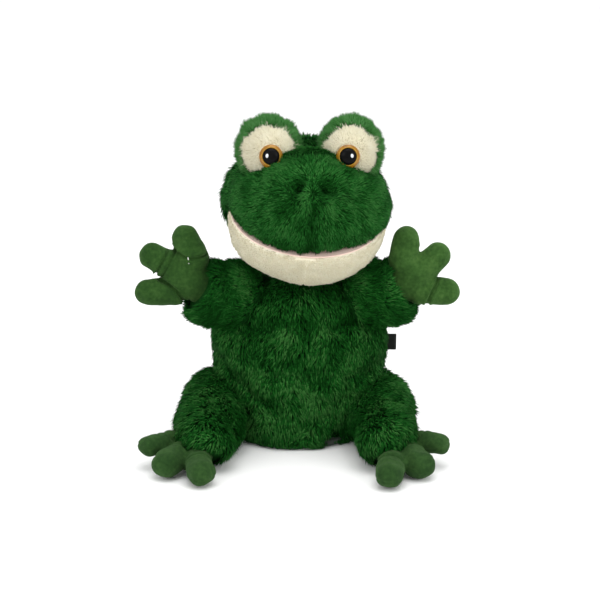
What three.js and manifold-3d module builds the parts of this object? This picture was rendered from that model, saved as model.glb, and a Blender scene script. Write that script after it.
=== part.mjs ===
// A seated frog hand puppet with a moving mouth, in millimetres.
// +Z is up and the puppet faces -Y. "left" and "right" are the puppet's own, so its left is at +X.
// Every cloth panel is a shell with its own thickness, and what it holds is a separate solid inside.

import * as THREE from 'three';
import { mergeVertices } from 'three/addons/utils/BufferGeometryUtils.js';
import Module from 'manifold-3d';

const wasm = await Module();
wasm.setup();

// ---------------------------------------------------------------- driving dimensions

const GAP = 0.35; // clear space between neighbours that touch on the real puppet
const PLUSH = 2.6; // backing cloth and pile root of the long-pile plush
const VELOUR = 1.8; // short-pile cloth of the hands, feet and jaw
const LINING = 1.3; // thin satin of the hand sleeve and pockets

// The body is a stack of ovals: height, half width, half depth, middle in X, middle in Y.
const BODY = [
  [0, 44, 38, 2, -3],
  [10, 52, 41, 2, -2],
  [30, 58.5, 43, 2, -2],
  [55, 61.5, 43, 2, -1],
  [75, 63, 40.5, 2, 0],
  [92, 59.5, 36, 2.5, 0],
  [106, 50.5, 31, 3.5, 1],
  [116, 42, 25.5, 5, 3],
  [123, 31, 20, 8, 6],
  [127, 22, 16, 9.7, 9],
];
// The hand sleeve inside it, flared out to the hem.
const SLEEVE = [
  [2.6, 38.5, 33, 2, -3],
  [9, 38, 31.5, 2, -2],
  [22, 36.5, 31, 2, -1],
  [70, 35.5, 28, 3, 1],
  [100, 29, 23, 5.5, 5],
  [116, 21, 18.5, 9.7, 9],
];
const HEM_HEIGHT = 4.2;
const HEM_WIDTH = 3.4;

const NECK = new THREE.Vector3(9.7, 10, 150); // centre of the ball that the head nods on
const NECK_BALL = 22;
const NECK_TUBE = 18.6;
const NECK_BORE = 16.2;
const NECK_FOOT = 118.5; // height of the tube's lower end, inside the body

const SNOUT_TURN = 1; // degrees that the snout and jaw look to the left
const SNOUT_ROLL = 4.5; // degrees that they hang down to the left
const ROLL_HEIGHT = 190; // height about which they hang

const SKULL = { middle: [0, -22, 180], radii: [56, 48, 42] };
const MUZZLE = { middle: [0, -40, 185], radii: [56, 52, 33], tilt: 15 };
const BROW = { middle: [0, -50, 198], radii: [28, 26, 23], tilt: 0 }; // the peak between the eyes
const JAW = { middle: [0, -35, 169.8], radii: [57, 52, 42], tilt: 17 };
const JAW_HINGE = [-33, 181]; // Y and Z of the hinge line in the snout's frame
const MOUTH_SLOPE = 24; // degrees that the palate falls towards the lip
const JAW_SLOPE = 26.5;
const MOUTH_GAP = 4.6; // between palate and mouth floor, at the hinge
const THROAT_SLOPE = 14; // how far the back of the jaw leans forward
const FACE_SEAM = -30; // Y of the seam between snout and back of head
const POUCH_BACK = -32; // Y of the open end of the finger pocket

const EYE = { middle: [29, -38, 221], hood: [20, 20, 21], white: [17.2, 19.5, 17.6] };
const IRIS = { middle: [27, -59.2, 219.5], radius: 8.4 };
const PUPIL_RADIUS = 5.8;
const EYE_PITCH = 8; // degrees that the eyes look up

const ARM = {
  left: { shoulder: [61, -15, 107], cuff: [76, -21, 116.5] },
  right: { shoulder: [-51, -15, 107], cuff: [-67, -21, 116.5] },
};
const SHOULDER = 18;
const CUFF = 17.5;
const WRIST_DEPTH = 10; // how far the wrist lies inside the cuff

const HAND = {
  left: {
    palm: [86, -21, 127.5],
    roots: [[78, -21, 137], [92, -21, 132], [91, -21, 116]],
    tips: [[80.5, -21, 154.5], [103.5, -21, 142], [111, -21, 115.5]],
  },
  right: {
    palm: [-83, -21, 127],
    roots: [[-76.5, -21, 137], [-91, -21, 132.5], [-87, -21, 115.5]],
    tips: [[-79, -21, 155.5], [-104.5, -21, 142], [-109, -21, 114.5]],
  },
};
const FINGER = 10.2;
const FINGER_FLAT = 0.8; // thickness over width
const PALM = 13;
const WRIST = 8.2;
const PALM_FLAT = 0.7; // of palm and wrist

const LEG = {
  left: { hip: [64.5, -6, 24.4], cuff: [66, -73, 18.4], ankle: [66, -61, 17] },
  right: { hip: [-60, -6, 24.4], cuff: [-65, -73, 18.4], ankle: [-65, -61, 17] },
};
const HIP = 24;
const CALF = 18.4;
const LEG_SWING = [-22, 22]; // degrees up or down that the body leaves room for
const LEG_ROOM = 1.8; // clear space round a swinging leg

const FOOT = {
  left: { heel: [70, -90, 9], toes: [[103, -80, 8], [88, -104, 8.4], [66, -120, 10]] },
  right: { heel: [-71, -93, 9], toes: [[-105, -84, 8], [-92, -94, 8.4], [-66, -116, 10]] },
};
const FOOT_ROLL = 19; // degrees that the toes' outer side is lifted
const TOES = [7.6, 10.6, 10.2];
const TOE_FLAT = 0.8;
const ANKLE = 9.6;

const LABEL = { middle: [69, 6, 69.5], size: [14, 1.2, 12.5] };

const SIDES = { left: 1, right: -1 };

// ---------------------------------------------------------------- solids from three.js shapes

const degrees = THREE.MathUtils.degToRad;

// A closed three.js geometry as a solid that can be cut and joined.
function solid(geometry) {
  const bare = geometry.clone();
  bare.deleteAttribute('normal');
  bare.deleteAttribute('uv');
  const merged = mergeVertices(bare, 1e-4);
  const corners = merged.index.array;
  const kept = [];
  for (let i = 0; i < corners.length; i += 3) {
    const [a, b, c] = corners.slice(i, i + 3);
    if (a !== b && b !== c && c !== a) kept.push(a, b, c);
  }
  return new wasm.Manifold(new wasm.Mesh({
    numProp: 3,
    vertProperties: new Float32Array(merged.attributes.position.array),
    triVerts: new Uint32Array(kept),
  }));
}

function geometryOf(body) {
  const mesh = body.getMesh();
  const geometry = new THREE.BufferGeometry();
  geometry.setAttribute('position', new THREE.BufferAttribute(mesh.vertProperties, 3));
  geometry.setIndex(new THREE.BufferAttribute(mesh.triVerts, 1));
  geometry.computeVertexNormals();
  return geometry;
}

// An ellipsoid, tilted about X so that its front goes down.
function ball(middle, radii, tilt = 0, around = 16, rings = 9) {
  const geometry = new THREE.SphereGeometry(1, around, rings);
  const turn = new THREE.Quaternion().setFromAxisAngle(new THREE.Vector3(1, 0, 0), degrees(tilt));
  const [x, y, z] = middle;
  geometry.applyMatrix4(new THREE.Matrix4().compose(
    new THREE.Vector3(x, y, z), turn, new THREE.Vector3(...radii)));
  return solid(geometry);
}

function smaller(shape, by) {
  return ball(shape.middle, shape.radii.map((r) => r - by), shape.tilt);
}

// A rounded limb between two points, its end radii its own, flattened along one direction.
function limb(from, to, fromRadius, toRadius, flat = 1, flatAlong = [0, 1, 0], around = 8) {
  const start = new THREE.Vector3(...from);
  const end = new THREE.Vector3(...to);
  const along = end.clone().sub(start).normalize();
  const thin = new THREE.Vector3(...flatAlong);
  thin.addScaledVector(along, -thin.dot(along)).normalize();
  const wide = new THREE.Vector3().crossVectors(along, thin);
  const geometry = new THREE.CapsuleGeometry(1, 1, 2, around, 1);
  const place = geometry.attributes.position;
  for (let i = 0; i < place.count; i += 1) {
    const [x, y, z] = [place.getX(i), place.getY(i), place.getZ(i)];
    const t = THREE.MathUtils.clamp(y + 0.5, 0, 1);
    const radius = THREE.MathUtils.lerp(fromRadius, toRadius, t);
    const cap = (y - THREE.MathUtils.clamp(y, -0.5, 0.5)) * radius;
    const point = start.clone().lerp(end, t);
    point.addScaledVector(along, cap);
    point.addScaledVector(wide, x * radius);
    point.addScaledVector(thin, z * radius * flat);
    place.setXYZ(i, point.x, point.y, point.z);
  }
  return solid(geometry);
}

// A stack of ovals, each pulled in by a thickness, closed flat at both ends.
function stack(ovals, inset = 0, around = 20) {
  const geometry = new THREE.CylinderGeometry(1, 1, ovals.length - 1, around, ovals.length - 1);
  const place = geometry.attributes.position;
  for (let i = 0; i < place.count; i += 1) {
    const level = Math.round(place.getY(i) + (ovals.length - 1) / 2);
    const [z, width, depth, x, y] = ovals[level];
    place.setXYZ(i, x + place.getX(i) * (width - inset), y - place.getZ(i) * (depth - inset), z);
  }
  return solid(geometry);
}

function tube(x, y, low, high, radius, around = 14) {
  const geometry = new THREE.CylinderGeometry(radius, radius, high - low, around);
  geometry.rotateX(Math.PI / 2);
  geometry.translate(x, y, (low + high) / 2);
  return solid(geometry);
}

function box(low, high) {
  const size = high.map((v, i) => v - low[i]);
  const geometry = new THREE.BoxGeometry(...size);
  geometry.translate(...low.map((v, i) => v + size[i] / 2));
  return solid(geometry);
}

// Everything on the lower side of a plane that runs along X, through a point of the YZ plane,
// and falls by a slope towards the front.
function under([y, z], slope) {
  const geometry = new THREE.BoxGeometry(400, 400, 400);
  geometry.translate(0, 0, -200);
  geometry.rotateX(degrees(slope));
  geometry.translate(0, y, z);
  return solid(geometry);
}

function behind(y) {
  return box([-300, y, -300], [300, 300, 300]);
}

// What is left of a panel without the crumbs that a cut leaves beside it.
function largest(body) {
  return body.decompose().reduce((a, b) => (b.volume() > a.volume() ? b : a));
}

// ---------------------------------------------------------------- materials

const cloth = (color, roughness = 0.95) => new THREE.MeshStandardMaterial({ color, roughness });
const FINISH = {
  plush: cloth(0x1a5521),
  velour: cloth(0x3f6b32),
  cream: cloth(0xd2cba6),
  pink: cloth(0xd9b0a2),
  satin: cloth(0x24452a, 0.6),
  binding: cloth(0x101c12),
  ribbon: cloth(0x0b0d0c, 0.5),
  filling: cloth(0xe9e8e2),
  thread: cloth(0x0c2a10, 0.7),
  amber: new THREE.MeshStandardMaterial({ color: 0xb57a12, roughness: 0.2 }),
  black: new THREE.MeshStandardMaterial({ color: 0x050505, roughness: 0.1 }),
  washer: new THREE.MeshStandardMaterial({ color: 0xe8e8e4, roughness: 0.45 }),
};

function part(name, body, finish) {
  const mesh = new THREE.Mesh(geometryOf(body), FINISH[finish]);
  mesh.name = name;
  return mesh;
}

// ---------------------------------------------------------------- body, sleeve and hem

const puppet = new THREE.Group();

function shoulderRoom(side, extra) {
  const r = SHOULDER + extra;
  return ball(ARM[side].shoulder, [r, r, r]);
}

function legForm(side, inset) {
  const { hip, cuff } = LEG[side];
  return limb(hip, cuff, HIP - inset, CALF - inset, 1, [0, 0, 1], 14);
}

// The space that a leg needs as it swings up and down at the hip.
function legRoom(side) {
  const [x, y, z] = LEG[side].hip;
  const leg = legForm(side, -LEG_ROOM);
  let room = leg;
  for (const swing of LEG_SWING) {
    room = room.add(leg.translate([-x, -y, -z]).rotate([swing, 0, 0]).translate([x, y, z]));
  }
  return room;
}

// The body is open below, where the hand goes in, and above, where the neck stands in it.
function buildBody() {
  const hollow = BODY.map(([z, ...rest], i) => [i === 0 ? -5 : z, ...rest]);
  hollow[hollow.length - 1][0] -= PLUSH;
  let shell = stack(BODY).subtract(stack(hollow, PLUSH));
  shell = shell.subtract(tube(NECK.x, NECK.y, 100, 200, NECK_TUBE + 1));
  for (const side of Object.keys(SIDES)) {
    shell = shell.subtract(shoulderRoom(side, 1)).subtract(legRoom(side));
  }
  shell = shell.subtract(box([-200, -200, -10], [200, 200, HEM_HEIGHT + GAP]));
  const [x, y, z] = LABEL.middle;
  const slit = LABEL.size.map((v) => v / 2 + GAP);
  const slot = box([x - slit[0], y - slit[1], z - slit[2]], [x + slit[0], y + slit[1], z + slit[2]]);
  shell = shell.subtract(slot);
  const back = largest(shell.intersect(behind(GAP / 2)));
  const front = largest(shell.subtract(behind(-GAP / 2)));
  puppet.add(part('torso_front_panel', front, 'plush'));
  puppet.add(part('torso_back_panel', back, 'plush'));
}

function buildSleeve() {
  const bore = SLEEVE.map(([z, ...rest]) => [z, ...rest]);
  bore[0][0] -= 3;
  bore[bore.length - 1][0] += 3;
  const sleeve = stack(SLEEVE, 0, 14).subtract(stack(bore, LINING, 14));
  puppet.add(part('sleeve_lining', sleeve, 'satin'));
}

function buildHem() {
  const [, width, depth, x, y] = BODY[0];
  const ring = [[0, width + 1, depth + 1, x, y], [HEM_HEIGHT, width + 2.4, depth + 2, x, y]];
  const bore = ring.map(([z, ...rest], i) => [i ? z + 2 : z - 2, ...rest]);
  puppet.add(part('hem_binding', stack(ring).subtract(stack(bore, HEM_WIDTH)), 'binding'));
}

function buildLabel() {
  const half = LABEL.size.map((v) => v / 2);
  const low = LABEL.middle.map((v, i) => v - half[i]);
  const high = LABEL.middle.map((v, i) => v + half[i]);
  puppet.add(part('side_label', box(low, high), 'ribbon'));
}

// ---------------------------------------------------------------- neck

// A short tube with a ball at its top, hollow for the hand. The head turns and nods on it.
function buildNeck() {
  const top = NECK.z + 14;
  let neck = tube(NECK.x, NECK.y, NECK_FOOT, NECK.z, NECK_TUBE);
  neck = neck.add(ball(NECK.toArray(), [NECK_BALL, NECK_BALL, NECK_BALL]));
  neck = neck.subtract(box([-100, -100, top], [100, 100, 300]));
  neck = neck.subtract(tube(NECK.x, NECK.y, NECK_FOOT - 5, 300, NECK_BORE));
  puppet.add(part('neck_tube', neck, 'plush'));
}

// ---------------------------------------------------------------- head

const head = new THREE.Group();
head.position.set(NECK.x, NECK.y, 0);
puppet.add(head);

// The snout and jaw look and hang a little to one side. A solid made straight is moved there.
function inHead(body) {
  const hung = body.translate([0, 0, -ROLL_HEIGHT]).rotate([0, SNOUT_ROLL, 0]);
  return hung.translate([0, 0, ROLL_HEIGHT]).rotate([0, 0, SNOUT_TURN]);
}

const palate = (drop) => inHead(under([JAW_HINGE[0], JAW_HINGE[1] - drop], MOUTH_SLOPE));
const seam = (extra) => inHead(behind(FACE_SEAM - extra));
const neckRoom = ball([0, 0, NECK.z], [23, 23, 23]);

function headForm(inset) {
  return smaller(SKULL, inset).add(inHead(smaller(MUZZLE, inset).add(smaller(BROW, inset))));
}

// A flat pouch above the palate takes the four fingers. It is open at the back.
function fingerPouch(inset) {
  const middle = [0, -50, 191.5];
  return inHead(ball(middle, [37 - inset, 34 - inset, 12 - inset], MOUTH_SLOPE, 12, 7));
}

function eyeRoom(extra) {
  const [x, y, z] = EYE.middle;
  const radii = EYE.hood.map((r) => r + extra);
  return ball([x, y, z], radii).add(ball([-x, y, z], radii));
}

function nostril(side, extra) {
  const sign = SIDES[side];
  const from = [sign * 10.4, -75.7, 202.6];
  const to = [sign * 8.2, -79.9, 198.8];
  return inHead(limb(from, to, 1 + extra, 1 + extra, 1, [0, 1, 0], 6));
}

function buildHead() {
  let shell = headForm(0).subtract(headForm(PLUSH));
  shell = shell.subtract(neckRoom).subtract(tube(0, 0, 100, NECK.z, 23.5));
  const above = shell.subtract(palate(0));
  let snout = above.subtract(seam(GAP));
  for (const side of Object.keys(SIDES)) snout = snout.subtract(nostril(side, GAP));
  const lowFront = palate(0).intersect(box([-200, -200, 0], [200, -24, 300]));
  const back = shell.intersect(seam(0)).subtract(lowFront);
  head.add(part('snout_panel', snout, 'plush'));
  head.add(part('head_back_panel', back, 'plush'));

  const mouthFront = inHead(box([-200, -200, 0], [200, JAW_HINGE[0] - 3, 300]));
  const roof = inHead(smaller(MUZZLE, 1.2)).intersect(palate(GAP)).subtract(palate(GAP + 1.5));
  head.add(part('palate_lining', roof.intersect(mouthFront), 'pink'));

  const pouch = fingerPouch(0).subtract(fingerPouch(LINING));
  head.add(part('finger_pocket', pouch.subtract(inHead(behind(POUCH_BACK))), 'satin'));

  let filling = inHead(smaller(MUZZLE, PLUSH + GAP)).subtract(palate(-GAP));
  filling = filling.subtract(seam(GAP)).subtract(fingerPouch(-GAP));
  head.add(part('head_stuffing', filling, 'filling'));
  for (const side of Object.keys(SIDES)) {
    head.add(part(`nostril_stitch_${side}`, nostril(side, 0), 'thread'));
  }
}

// ---------------------------------------------------------------- eyes

// A round piece on the eye's own axis: its outline as radius and distance in front of the iris.
function turned(outline, sign, around = 16) {
  const geometry = new THREE.LatheGeometry(outline.map(([r, d]) => new THREE.Vector2(r, d)), around);
  geometry.rotateX(Math.PI - degrees(EYE_PITCH));
  const [x, y, z] = IRIS.middle;
  geometry.translate(sign * x, y, z);
  return solid(geometry);
}

function buildEye(side) {
  const sign = SIDES[side];
  const middle = [sign * EYE.middle[0], EYE.middle[1], EYE.middle[2]];
  const forward = [middle[0], middle[1] - 2, middle[2]];
  const white = (inset) => ball(forward, EYE.white.map((r) => r - inset), 0, 14, 8);
  const form = headForm(-GAP);
  const hoodFront = box([-200, -200, 0], [200, middle[1] - 11, 300]);
  const hood = ball(middle, EYE.hood, 0, 14, 8).subtract(white(-GAP)).subtract(hoodFront);
  head.add(part(`eye_hood_${side}`, hood.subtract(form), 'plush'));

  const rim = behind(middle[1] - 4);
  const post = turned([[0, -14], [2.2, -14], [2.2, 1], [0, 1]], sign, 8);
  const seat = turned([[0, -1.4], [IRIS.radius + GAP, -1.4], [IRIS.radius + GAP, 8], [0, 8]], sign);
  const postRoom = turned([[0, -16], [2.6, -16], [2.6, 1], [0, 1]], sign, 8);
  let disc = white(0).subtract(white(VELOUR)).subtract(rim).subtract(form);
  disc = disc.subtract(seat).subtract(postRoom);
  head.add(part(`eye_white_${side}`, disc, 'cream'));

  const washer = turned([[2.9, -8.6], [6, -8.6], [6, -7.2], [2.9, -7.2], [2.9, -8.6]], sign, 10);
  const washerRoom = turned([[0, -9], [6.4, -9], [6.4, -6.8], [0, -6.8]], sign, 10);
  let filling = white(VELOUR + GAP).subtract(form).subtract(seat).subtract(postRoom);
  filling = filling.subtract(washerRoom);
  head.add(part(`eye_stuffing_${side}`, filling, 'filling'));
  head.add(part(`eye_washer_${side}`, washer.subtract(form), 'washer'));

  const r = IRIS.radius;
  const disk = turned([[0, -1], [r, -1], [r, 0.4], [r - 1, 1.6], [PUPIL_RADIUS + 1.2, 2.4],
    [PUPIL_RADIUS + GAP, 2.2], [PUPIL_RADIUS + GAP, 0.6], [0, 0.6]], sign);
  head.add(part(`iris_${side}`, disk.add(post.subtract(form)), 'amber'));
  const p = PUPIL_RADIUS;
  const dome = turned([[0, 1], [p, 1], [p, 2.2], [p * 0.85, 3.2], [p * 0.5, 4.1], [0, 4.4]], sign, 16);
  head.add(part(`pupil_${side}`, dome, 'black'));
}

// ---------------------------------------------------------------- jaw

function thumbPouch(inset) {
  const from = [0, -36, 160];
  const to = [0, -57, 152.5];
  return limb(from, to, 15 - inset, 14 - inset, 0.62, [0, 0.3, 1], 10);
}

function buildJaw() {
  const floor = (drop) => under([JAW_HINGE[0], JAW_HINGE[1] - MOUTH_GAP - drop], JAW_SLOPE);
  const throat = (back) => {
    const geometry = new THREE.BoxGeometry(400, 400, 400);
    geometry.translate(0, 200, 0);
    geometry.rotateX(-degrees(THROAT_SLOPE));
    geometry.translate(0, JAW_HINGE[0] - 2 - back, JAW_HINGE[1]);
    return solid(geometry);
  };
  const shell = smaller(JAW, 0).subtract(smaller(JAW, VELOUR));
  head.add(part('jaw_panel', inHead(shell.intersect(floor(0)).subtract(throat(0))), 'cream'));
  const lid = smaller(JAW, 0.8).intersect(floor(-GAP - 1.5)).subtract(floor(-GAP));
  head.add(part('mouth_floor_lining', inHead(lid.subtract(throat(2))), 'pink'));
  const pouch = thumbPouch(0).subtract(thumbPouch(LINING)).subtract(throat(0));
  head.add(part('thumb_pocket', inHead(pouch), 'satin'));
  let filling = smaller(JAW, VELOUR + GAP).intersect(floor(GAP)).subtract(throat(1));
  filling = filling.subtract(thumbPouch(-GAP));
  head.add(part('jaw_stuffing', inHead(filling), 'filling'));
}

// ---------------------------------------------------------------- arms and hands

const vector = (list) => new THREE.Vector3(...list);

function wristOf(side) {
  const { shoulder, cuff } = ARM[side];
  const back = vector(shoulder).sub(vector(cuff)).normalize();
  return vector(cuff).addScaledVector(back, WRIST_DEPTH).toArray();
}

// Everything beyond the open end of the sleeve.
function beyondCuff(side, extra) {
  const { shoulder, cuff } = ARM[side];
  const out = vector(cuff).sub(vector(shoulder)).normalize();
  const geometry = new THREE.BoxGeometry(100, 100, 100);
  geometry.translate(0, 0, 50);
  geometry.applyQuaternion(new THREE.Quaternion().setFromUnitVectors(new THREE.Vector3(0, 0, 1), out));
  geometry.translate(...vector(cuff).addScaledVector(out, extra).toArray());
  return solid(geometry);
}

function handForm(side, inset) {
  const { palm, roots, tips } = HAND[side];
  const flatAlong = [0, 1, 0];
  const wrist = wristOf(side);
  let form = limb(wrist, palm, WRIST - inset, PALM - inset, PALM_FLAT, flatAlong);
  roots.forEach((root, i) => {
    form = form.add(limb(root, tips[i], FINGER - 1.5 - inset, FINGER - inset, FINGER_FLAT, flatAlong));
  });
  return form;
}

function buildArm(side) {
  const { shoulder, cuff } = ARM[side];
  const sleeve = (inset) => limb(shoulder, cuff, SHOULDER - inset, CUFF - inset, 1, [0, 0, 1], 14);
  const end = beyondCuff(side, 0);
  const cover = sleeve(0).subtract(sleeve(PLUSH)).subtract(end);
  puppet.add(part(`arm_sleeve_${side}`, cover, 'plush'));
  const wristRoom = ball(wristOf(side), [13.4, 13.4, 13.4], 0, 10, 6);
  const filling = sleeve(PLUSH + GAP).subtract(beyondCuff(side, -WRIST_DEPTH - 1)).subtract(wristRoom);
  puppet.add(part(`arm_stuffing_${side}`, filling, 'filling'));

  const middle = HAND[side].palm[1];
  const shell = handForm(side, 0).subtract(handForm(side, VELOUR));
  const back = shell.intersect(behind(middle + GAP / 2));
  const palm = shell.subtract(behind(middle - GAP / 2));
  puppet.add(part(`hand_palm_panel_${side}`, palm, 'velour'));
  puppet.add(part(`hand_back_panel_${side}`, back, 'velour'));
  puppet.add(part(`hand_stuffing_${side}`, handForm(side, VELOUR + GAP), 'filling'));
}

// ---------------------------------------------------------------- legs and feet

const UNDER_FLOOR = box([-300, -300, -100], [300, 300, 0]);

// Toes and seam are made flat and then rolled about the heel.
function rolled(side, body) {
  const [x, y, z] = FOOT[side].heel;
  return body.translate([-x, -y, -z]).rotate([0, -SIDES[side] * FOOT_ROLL, 0]).translate([x, y, z]);
}

function footForm(side, inset) {
  const { heel, toes } = FOOT[side];
  const up = [0, 0, 1];
  let form = limb(LEG[side].ankle, heel, ANKLE - inset, 14 - inset, 0.62, up);
  toes.forEach((toe, i) => {
    const root = vector(heel).lerp(vector(toe), 0.3).toArray();
    form = form.add(rolled(side, limb(root, toe, TOES[i] - 1 - inset, TOES[i] - inset, TOE_FLAT, up)));
  });
  return form.subtract(box([-300, -300, -100], [300, 300, inset]));
}

function buildLeg(side) {
  const { cuff, ankle } = LEG[side];
  const end = box([-300, -300, -100], [300, cuff[1], 200]);
  const cover = legForm(side, 0).subtract(legForm(side, PLUSH)).subtract(end).subtract(UNDER_FLOOR);
  puppet.add(part(`leg_cover_${side}`, cover, 'plush'));
  const ankleRoom = ball(ankle, [13.5, 13.5, 13.5], 0, 10, 6);
  const near = box([-300, -300, -100], [300, ankle[1] + 2, 200]);
  const filling = legForm(side, PLUSH + GAP).subtract(near).subtract(ankleRoom);
  puppet.add(part(`leg_stuffing_${side}`, filling, 'filling'));

  const form = footForm(side, 0);
  const shell = form.subtract(footForm(side, VELOUR));
  const seamHeight = FOOT[side].heel[2];
  const split = rolled(side, box([-300, -300, -300], [300, 300, seamHeight - GAP / 2]));
  const above = rolled(side, box([-300, -300, -300], [300, 300, seamHeight + GAP / 2]));
  puppet.add(part(`foot_sole_panel_${side}`, shell.intersect(split), 'velour'));
  puppet.add(part(`foot_top_panel_${side}`, shell.subtract(above), 'velour'));
  puppet.add(part(`foot_stuffing_${side}`, footForm(side, VELOUR + GAP), 'filling'));
}

// ---------------------------------------------------------------- the whole puppet

buildBody();
buildSleeve();
buildHem();
buildLabel();
buildNeck();
buildHead();
buildJaw();
for (const side of Object.keys(SIDES)) {
  buildEye(side);
  buildArm(side);
  buildLeg(side);
}

// The origin is on the surface that the puppet sits on, under the middle of its bounding box.
puppet.updateMatrixWorld(true);
const bounds = new THREE.Box3().setFromObject(puppet);
const middle = bounds.getCenter(new THREE.Vector3());
puppet.position.set(-middle.x, -middle.y, 0);
puppet.updateMatrixWorld(true);

export default puppet;
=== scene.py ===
# %% [markdown]
# # A plush frog hand puppet
# The puppet is a cloth sleeve for the hand, with a stuffed snout and jaw that open like a mouth, and stuffed
# arms and legs sewn to the sleeve. The fixed frame of solids says where every piece is and how it moves. The
# looks are built round it: each cloth piece is modelled as a skin in its true place, and long pile is grown on
# the skins as real geometry, because the pile is what the eye sees first on a plush toy.

# %% Load the frame
import math

import bmesh
import bpy
import numpy as np
from mathutils import Matrix, Vector
from mathutils.kdtree import KDTree


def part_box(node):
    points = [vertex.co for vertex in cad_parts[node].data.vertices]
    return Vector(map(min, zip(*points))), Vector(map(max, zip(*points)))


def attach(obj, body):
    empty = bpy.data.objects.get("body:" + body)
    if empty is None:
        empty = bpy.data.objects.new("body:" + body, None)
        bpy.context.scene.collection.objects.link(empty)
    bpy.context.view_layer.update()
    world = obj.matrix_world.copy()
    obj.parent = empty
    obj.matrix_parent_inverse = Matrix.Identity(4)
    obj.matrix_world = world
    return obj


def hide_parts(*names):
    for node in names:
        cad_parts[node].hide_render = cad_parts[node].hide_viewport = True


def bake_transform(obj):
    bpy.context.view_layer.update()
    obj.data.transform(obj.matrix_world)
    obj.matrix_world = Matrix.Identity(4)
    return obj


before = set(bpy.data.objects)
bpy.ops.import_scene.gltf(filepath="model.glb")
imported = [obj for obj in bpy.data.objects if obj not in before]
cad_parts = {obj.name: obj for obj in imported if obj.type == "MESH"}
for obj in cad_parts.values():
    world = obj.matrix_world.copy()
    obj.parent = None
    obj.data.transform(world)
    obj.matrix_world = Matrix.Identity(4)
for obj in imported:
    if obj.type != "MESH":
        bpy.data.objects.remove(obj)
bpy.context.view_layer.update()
scene = bpy.context.scene

# %% [markdown]
# ## The workbench
# Everything is shaped in millimetres round one point, the middle of the hem, as a pattern maker would measure
# it, and is moved into the frame when it is finished. The head has its own place, and the snout hangs a little
# to one side of it, so that both sides of the face can be made with the same numbers.

# %% Places on the workbench
MM = 0.001
hem_low, hem_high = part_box("hem_binding")
HEM_MIDDLE = Vector((2, -3, 0))  # where the hem's middle is on the bench, in millimetres
hem_centre = (hem_low + hem_high) / 2
BENCH = Matrix.Translation(Vector((hem_centre.x, hem_centre.y, 0)) - HEM_MIDDLE * MM) @ Matrix.Scale(MM, 4)
NECK = Vector((9.7, 10, 150))
SNOUT_TURN = math.radians(1)
SNOUT_ROLL = math.radians(4.5)
HANG_POINT = Matrix.Translation((0, 0, 190))
HEAD = Matrix.Translation((NECK.x, NECK.y, 0))
HANG = HANG_POINT @ Matrix.Rotation(SNOUT_ROLL, 4, "Y") @ HANG_POINT.inverted()
SNOUT = HEAD @ Matrix.Rotation(SNOUT_TURN, 4, "Z") @ HANG
SIDES = {"left": 1, "right": -1}


def at(x, y, z):
    """A point of the bench as a point of the frame."""
    return BENCH @ Vector((x, y, z))


print("the bench's origin is at", [round(v, 4) for v in at(0, 0, 0)])

# %% [markdown]
# ## Camera, floor and light
# The puppet sits on a plain pale floor and is seen from a little above. Three big soft lamps and a pale world
# give the even light of a product table, so that the pile is shaded by its own tips and not by hard shadows.

# %% Camera
camera_data = bpy.data.cameras.new("camera")
camera_data.lens = 92
camera_data.sensor_width = 36
camera_data.clip_end = 20
camera = bpy.data.objects.new("camera", camera_data)
scene.collection.objects.link(camera)
camera.location = at(3, -1115.84, 381.82)
aim = at(3, 0, 103.6) - camera.location
camera.rotation_euler = aim.to_track_quat("-Z", "Y").to_euler()
scene.camera = camera
print("camera looks from", [round(v, 3) for v in camera.location])

# %% Floor and light
scene.view_settings.view_transform = "Standard"
bm = bmesh.new()
bmesh.ops.create_grid(bm, x_segments=1, y_segments=1, size=6)
floor_mesh = bpy.data.meshes.new("floor")
bm.to_mesh(floor_mesh)
bm.free()
floor = bpy.data.objects.new("floor", floor_mesh)
floor.location.z = -0.0002
scene.collection.objects.link(floor)
floor_paint = bpy.data.materials.new("floor_paint")
floor_paint.use_nodes = True
floor_paint.node_tree.nodes["Principled BSDF"].inputs["Base Color"].default_value = (0.97, 0.97, 0.97, 1)
floor_paint.node_tree.nodes["Principled BSDF"].inputs["Roughness"].default_value = 0.9
floor_mesh.materials.append(floor_paint)

world = bpy.data.worlds.new("pale_room")
world.use_nodes = True
world.node_tree.nodes["Background"].inputs["Color"].default_value = (1, 1, 1, 1)
world.node_tree.nodes["Background"].inputs["Strength"].default_value = 1.06
scene.world = world


def soft_lamp(name, place, size, power):
    """A square soft box that looks at the puppet's chest."""
    data = bpy.data.lights.new(name, "AREA")
    data.shape = "SQUARE"
    data.size = size
    data.energy = power
    lamp = bpy.data.objects.new(name, data)
    lamp.location = place
    lamp.rotation_euler = (Vector((0, 0, 0.12)) - lamp.location).to_track_quat("-Z", "Y").to_euler()
    scene.collection.objects.link(lamp)


soft_lamp("lamp_above", Vector((0.1, -0.35, 1.5)), 1.1, 10)
soft_lamp("lamp_front_left", Vector((-1.0, -1.4, 1.0)), 0.9, 5)
soft_lamp("lamp_front_right", Vector((1.2, -1.2, 0.9)), 0.9, 6)
print("three soft lamps")

# %% [markdown]
# ## Finishes
# Each finish is a small tree of nodes on object coordinates, so a pattern stays on the cloth. Cloth gets three
# scales of detail: broad clouds where the pile is brushed differently, a fine mottle, and a bump as fine as
# the pile or the weave. Sheen gives cloth its soft pale edge.


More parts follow.
